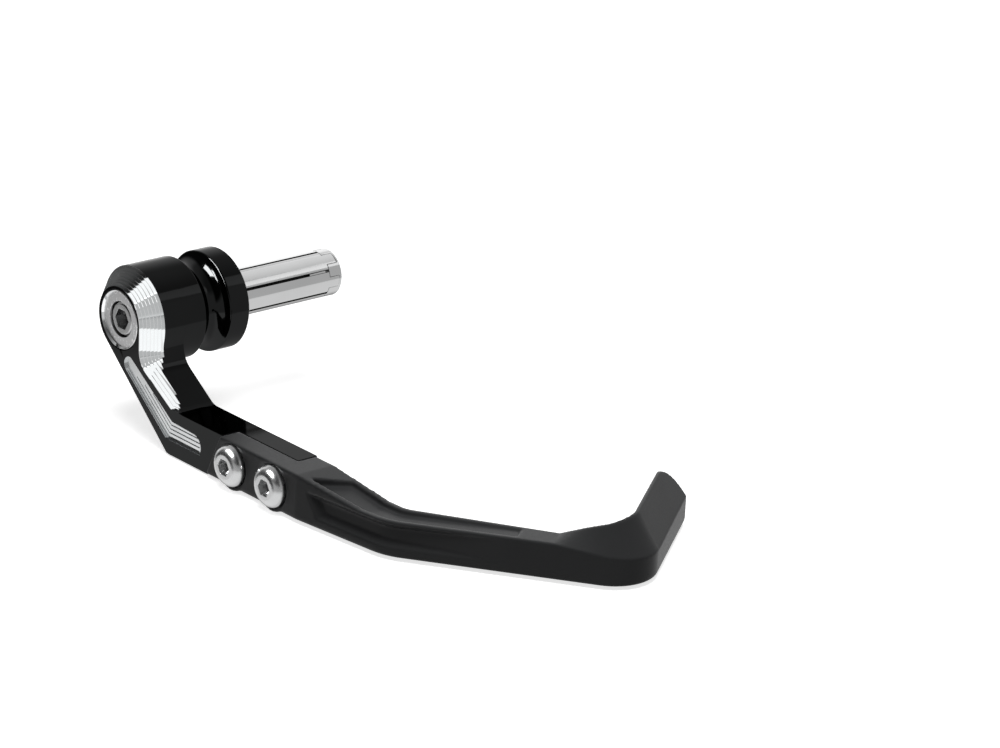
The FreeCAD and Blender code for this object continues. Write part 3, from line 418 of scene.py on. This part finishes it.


# second finish: the cap's dished wall is cut bright; the sleeve's inner faces and the bolt's
# shank inside the bar get painted shade, a near-black dull tone
def onDish(centre, normal):
    return lean["dishLeast"] < normal.x < lean["dishMost"]


def insideSleeve(centre, normal):
    outward = Vector((0, centre.y, centre.z)).normalized()
    return abs(normal.x) < lean["wall"] and normal.dot(outward) < lean["wall"]


def onShank(centre, normal):
    return centre.x < meshing["seat"]


secondFinishAndShade = {
    "end_cap": ("brightCut", onDish),
    "expansion_sleeve": ("paintedBoreShade", insideSleeve),
    "through_bolt": ("paintedBoreShade", onShank),
}


for node, (name, finishName, slotName, edge) in turned.items():
    piece = copyOfNode(node, name)
    piece.data.materials.append(materialOf[finishName])
    if node == "bar_end_spool":
        closeJoint(piece)
    if node in secondFinishAndShade:
        otherName, chosen = secondFinishAndShade[node]
        piece.data.materials.append(materialOf[otherName])
        for face in piece.data.polygons:
            face.material_index = int(chosen(face.center, face.normal))
    softenEdges(piece, edge, turnedSharpDegrees)
    smoothShade(piece)
    settle(piece, node)

# floor: keeps the shadow, but is hidden from reflections and from bounce light

floorValues = {"size": 6.0, "gap": 0.05 * mm, "tone": (0.93, 0.93, 0.93), "rough": 0.9,
               "glow": 0.72}
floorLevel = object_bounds()[0].z - floorValues["gap"]
bpy.ops.object.select_all(action="DESELECT")
bpy.ops.mesh.primitive_plane_add(size=floorValues["size"], location=(0, 0, floorLevel))
floor = bpy.context.object
floor.name = "floor"
floorMaterial, floorTree, floorShader = newMaterial("paleFloor")
floorShader.inputs["Base Color"].default_value = (*floorValues["tone"], 1)
floorShader.inputs["Roughness"].default_value = floorValues["rough"]
floorShader.inputs["Specular IOR Level"].default_value = 0.0
floorShader.inputs["Emission Color"].default_value = (1, 1, 1, 1)
floorPath = addNode(floorTree, "ShaderNodeLightPath")
floorGlow = mathNode(floorTree, "MULTIPLY", floorPath.outputs["Is Camera Ray"],
                     floorValues["glow"])
floorTree.links.new(floorGlow, floorShader.inputs["Emission Strength"])
floor.data.materials.append(floorMaterial)
floor.visible_diffuse = False
floor.visible_glossy = False

# studio walls that only reflections show: pale ground, bright behind, dim overhead,
# dark on the outboard side

shell = {
    "radius": 2.0, "segments": 48, "rings": 24, "behind": (-0.61, -0.79, 0.0),
    "front": 0.58, "back": 1.35, "overhead": 0.4, "outboard": 0.06, "inboard": 0.5,
    "ground": 0.92, "groundOutboard": 1.3, "groundBehind": 0.45,
}
# where each change of tone starts and ends along its direction, as a share of the radius
shellBands = {
    "back": (-0.2, 0.6), "backFoot": (-0.22, -0.08), "overhead": (0.45, 0.75),
    "inboard": (-0.95, -0.75), "darkFoot": (-0.35, -0.335), "darkFront": (-0.3, 0.1),
    "darkTop": (0.05, 0.3), "outboard": (0.1, 0.4), "under": (0.35, 0.75),
    "underTop": (-0.6, -0.45), "groundOutboard": (-0.2, 0.3), "skirting": (-0.325, -0.285),
}
bpy.ops.object.select_all(action="DESELECT")
bpy.ops.mesh.primitive_uv_sphere_add(segments=shell["segments"], ring_count=shell["rings"],
                                     radius=shell["radius"])
studioShell = bpy.context.object
studioShell.name = "studioShell"
bpy.ops.object.mode_set(mode="EDIT")
bpy.ops.mesh.select_all(action="SELECT")
bpy.ops.mesh.flip_normals()
bpy.ops.object.mode_set(mode="OBJECT")
for ray in ("camera", "diffuse", "transmission", "volume_scatter", "shadow"):
    setattr(studioShell, "visible_" + ray, False)
shellMaterial, shellTree, shellShader = newMaterial("studioWall")
shellPlace = addNode(shellTree, "ShaderNodeTexCoord")
shellSplit = addNode(shellTree, "ShaderNodeSeparateXYZ")
shellTree.links.new(shellPlace.outputs["Object"], shellSplit.inputs[0])
across = addNode(shellTree, "ShaderNodeVectorMath", operation="DOT_PRODUCT")
across.inputs[1].default_value = shell["behind"]
shellTree.links.new(shellPlace.outputs["Object"], across.inputs[0])
away, outX, outY, upZ = across.outputs["Value"], *shellSplit.outputs


# soft change from one tone to another along one direction of the shell
def shellTone(source, band, first, last):
    node = addNode(shellTree, "ShaderNodeMapRange", interpolation_type="SMOOTHSTEP")
    shellTree.links.new(source, node.inputs["Value"])
    low, high = shellBands[band]
    node.inputs["From Min"].default_value = low * shell["radius"]
    node.inputs["From Max"].default_value = high * shell["radius"]
    node.inputs["To Min"].default_value = first
    node.inputs["To Max"].default_value = last
    return node.outputs["Result"]


def shellTimes(first, second):
    return mathNode(shellTree, "MULTIPLY", first, second)


def shellWithout(share):
    return mathNode(shellTree, "SUBTRACT", 1.0, share)


backShare = shellTimes(shellTone(away, "back", 0.0, shell["back"] - shell["front"]),
                       shellTone(upZ, "backFoot", 0.0, 1.0))
wallTone = shellTimes(mathNode(shellTree, "ADD", backShare, shell["front"]),
                      shellTone(upZ, "overhead", 1.0, shell["overhead"]))
wallTone = shellTimes(wallTone, shellTone(outX, "inboard", shell["inboard"], 1.0))
wallTone = shellTimes(wallTone, shellTone(upZ, "skirting", 0.0, 1.0))
darkShare = shellTimes(shellTone(upZ, "darkFoot", 0.0, 1.0),
                       shellTone(outY, "darkFront", 1.0, 0.0))
darkShare = mathNode(shellTree, "MAXIMUM", darkShare, shellTone(upZ, "darkTop", 0.0, 1.0))
darkShare = shellTimes(darkShare, shellTone(outX, "outboard", 0.0, 1.0 - shell["outboard"]))
# the reflected ground dims to 0.45 steeply below and behind the guard: painted shadow of the
# guard on the ground
underShare = shellTimes(shellTone(away, "under", 0.0, 1.0 - shell["groundBehind"]),
                        shellTone(upZ, "underTop", 1.0, 0.0))
groundTone = shellTone(outX, "groundOutboard", shell["ground"], shell["groundOutboard"])
groundTone = shellTimes(groundTone, shellWithout(underShare))
groundTone = shellTimes(groundTone, shellTone(upZ, "skirting", 1.0, 0.0))
shellLight = shellTimes(mathNode(shellTree, "ADD", wallTone, groundTone),
                        shellWithout(darkShare))
shellTree.links.new(shellLight, shellShader.inputs["Emission Color"])
shellShader.inputs["Base Color"].default_value = (0, 0, 0, 1)
shellShader.inputs["Specular IOR Level"].default_value = 0.0
shellShader.inputs["Emission Strength"].default_value = 1.0
shellMaterial.cycles.emission_sampling = "NONE"
studioShell.data.materials.append(shellMaterial)

# world: a faint fill for diffuse light, white for rays that see it

worldValues = {"fill": 0.12, "white": 1.0}
world = bpy.data.worlds.new("studio")
world.use_nodes = True
bpy.context.scene.world = world
worldTree = world.node_tree
worldTree.nodes.clear()
path = addNode(worldTree, "ShaderNodeLightPath")
seen = mathNode(worldTree, "MAXIMUM", path.outputs["Is Camera Ray"],
                path.outputs["Is Glossy Ray"])
seen = mathNode(worldTree, "MAXIMUM", seen, path.outputs["Is Transmission Ray"])
mix = addNode(worldTree, "ShaderNodeMixShader")
worldTree.links.new(seen, mix.inputs[0])
for socket, label in zip(mix.inputs[1:], ("fill", "white")):
    background = addNode(worldTree, "ShaderNodeBackground")
    background.inputs["Color"].default_value = (1, 1, 1, 1)
    background.inputs["Strength"].default_value = worldValues[label]
    worldTree.links.new(background.outputs[0], socket)
leaveWorld = addNode(worldTree, "ShaderNodeOutputWorld")
worldTree.links.new(mix.outputs[0], leaveWorld.inputs["Surface"])

# lamps: direction, distance, width, height, power, rays it is hidden from, pieces it lights

lampAim = (0.0, 0.05, -0.01)
lamps = {
    "topLamp": ((0.12, 0.15, 0.98), 1.2, 0.70, 0.70, 9.6, "glossy", None),
    "keyLamp": ((0.66, -0.28, 0.70), 1.2, 0.58, 0.50, 42.0, "diffuse",
                ("spoolPiece", "screwPieces")),
    "lowLamp": ((0.92, -0.22, 0.32), 1.2, 0.40, 0.46, 26.0, "diffuse", ("spoolPiece",)),
    "farLamp": ((-0.61, 0.44, 0.655), 1.4, 0.44, 0.34, 0.36, "diffuse", None),
    "plugLamp": ((-0.624, -0.10, 0.773), 1.2, 1.02, 0.45, 0.68, "diffuse",
                 ("sleevePiece", "nutPiece")),
    "sideLamp": ((0.55, 0.0, 0.83), 1.2, 0.84, 0.34, 1.12, "diffuse", ("armPiece",)),
    "frontLamp": ((0.627, 0.585, 0.515), 1.2, 0.75, 0.90, 1.20, "diffuse", ("armPiece",)),
}


def softLamp(name, direction, distance, width, height, power, hiddenFrom, onlyOn):
    lamp = bpy.data.lights.new(name, "AREA")
    lamp.shape = "RECTANGLE"
    lamp.size = width
    lamp.size_y = height
    lamp.energy = power
    holder = bpy.data.objects.new(name, lamp)
    bpy.context.scene.collection.objects.link(holder)
    place = Vector(lampAim) + Vector(direction).normalized() * distance
    holder.location = place
    holder.rotation_euler = (Vector(lampAim) - place).to_track_quat("-Z", "Y").to_euler()
    setattr(holder, "visible_" + hiddenFrom, False)
    if onlyOn:
        lit = bpy.data.collections.new(name + "Receivers")
        for pieceName in onlyOn:
            lit.objects.link(bpy.data.objects[pieceName])
        holder.light_linking.receiver_collection = lit


for name, values in lamps.items():
    softLamp(name, *values)
print("light set")

# camera, as solved from the photo

cameraValues = {
    "place": (0.576367, 0.757033, 0.336752),
    "right": (-0.7556901, 0.6534687, 0.0437175),
    "up": (-0.1984044, -0.2920330, 0.9356027),
    "back": (0.6241540, 0.6983519, 0.3503374),
    "lens": 137.80,
    "sensor": 36.0,
}
cameraData = bpy.data.cameras.new("photoCamera")
cameraData.sensor_fit = "HORIZONTAL"
cameraData.sensor_width = cameraValues["sensor"]
cameraData.lens = cameraValues["lens"]
camera = bpy.data.objects.new("photoCamera", cameraData)
bpy.context.scene.collection.objects.link(camera)
turn = Matrix((cameraValues["right"], cameraValues["up"], cameraValues["back"])).transposed()
camera.matrix_world = Matrix.Translation(cameraValues["place"]) @ turn.to_4x4()
bpy.context.scene.camera = camera
bpy.context.scene.view_settings.view_transform = "Standard"

print("scene ready")
